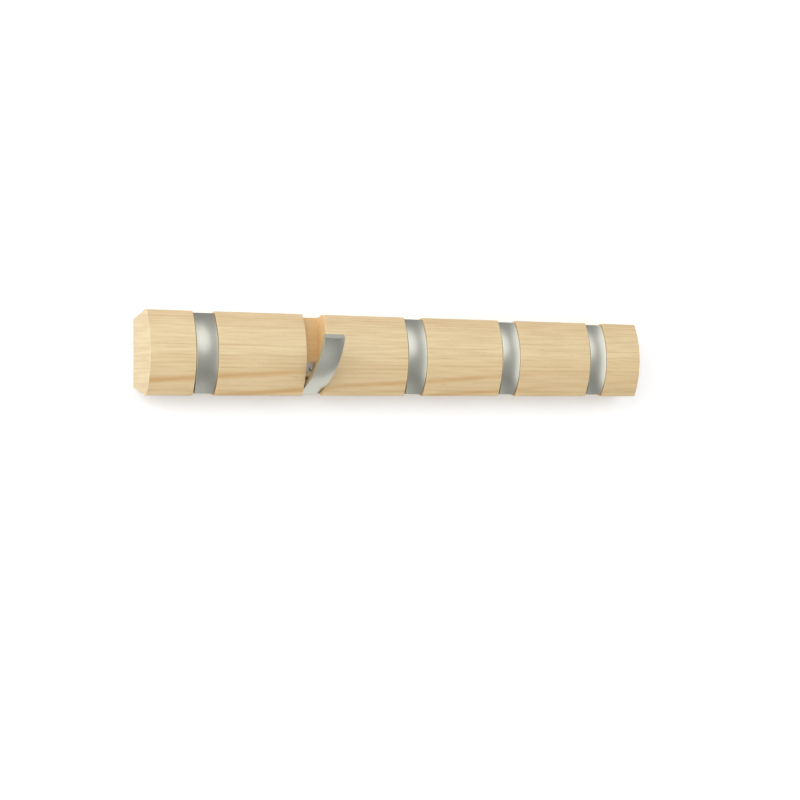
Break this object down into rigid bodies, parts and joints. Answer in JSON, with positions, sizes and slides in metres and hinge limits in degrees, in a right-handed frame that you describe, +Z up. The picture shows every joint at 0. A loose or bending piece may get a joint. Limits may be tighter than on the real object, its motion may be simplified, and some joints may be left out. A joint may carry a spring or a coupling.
{
  "type": "wall coat rack",
  "caption": "Wooden wall rail with curved metal hooks that lie flush in grooves across its front and swing out to hang coats and bags.",
  "frame": {"origin": "middle of the rail's flat back face, on the wall", "axes": "X along the rail to the right as seen from the room, Y into the wall, Z up"},
  "size_m": [0.508, 0.0621, 0.0682],
  "materials": {
    "wood": "pale straight-grained wood, fine sanded, thin clear satin finish",
    "nickel": "die-cast zinc with satin nickel plating",
    "steel": "bright zinc-plated steel",
    "washer": "natural nylon"
  },
  "bodies": {
    "rail": {"rail": "wood", "hinge_bracket_1": "steel", "hinge_bracket_2": "steel", "hinge_bracket_3": "steel", "hinge_bracket_4": "steel", "hinge_bracket_5": "steel", "hinge_pin_1": "steel", "hinge_pin_2": "steel", "hinge_pin_3": "steel", "hinge_pin_4": "steel", "hinge_pin_5": "steel", "friction_washers_1": "washer", "friction_washers_2": "washer", "friction_washers_3": "washer", "friction_washers_4": "washer", "friction_washers_5": "washer", "bracket_screws_1": "steel", "bracket_screws_2": "steel", "bracket_screws_3": "steel", "bracket_screws_4": "steel", "bracket_screws_5": "steel"},
    "hook_1": {"hook_1": "nickel"},
    "hook_2": {"hook_2": "nickel"},
    "hook_3": {"hook_3": "nickel"},
    "hook_4": {"hook_4": "nickel"},
    "hook_5": {"hook_5": "nickel"}
  },
  "joints": [
    {"name": "hook_1_swing", "type": "hinge", "parent": "rail", "child": "hook_1", "pos_m": [-0.2032, -0.0198, -0.0225], "axis": [1, 0, 0], "range_deg": [0, 45]},
    {"name": "hook_2_swing", "type": "hinge", "parent": "rail", "child": "hook_2", "pos_m": [-0.1016, -0.0198, -0.0225], "axis": [1, 0, 0], "range_deg": [-45, 0]},
    {"name": "hook_3_swing", "type": "hinge", "parent": "rail", "child": "hook_3", "pos_m": [0, -0.0198, -0.0225], "axis": [1, 0, 0], "range_deg": [0, 45]},
    {"name": "hook_4_swing", "type": "hinge", "parent": "rail", "child": "hook_4", "pos_m": [0.1016, -0.0198, -0.0225], "axis": [1, 0, 0], "range_deg": [0, 45]},
    {"name": "hook_5_swing", "type": "hinge", "parent": "rail", "child": "hook_5", "pos_m": [0.2032, -0.0198, -0.0225], "axis": [1, 0, 0], "range_deg": [0, 45]}
  ]
}
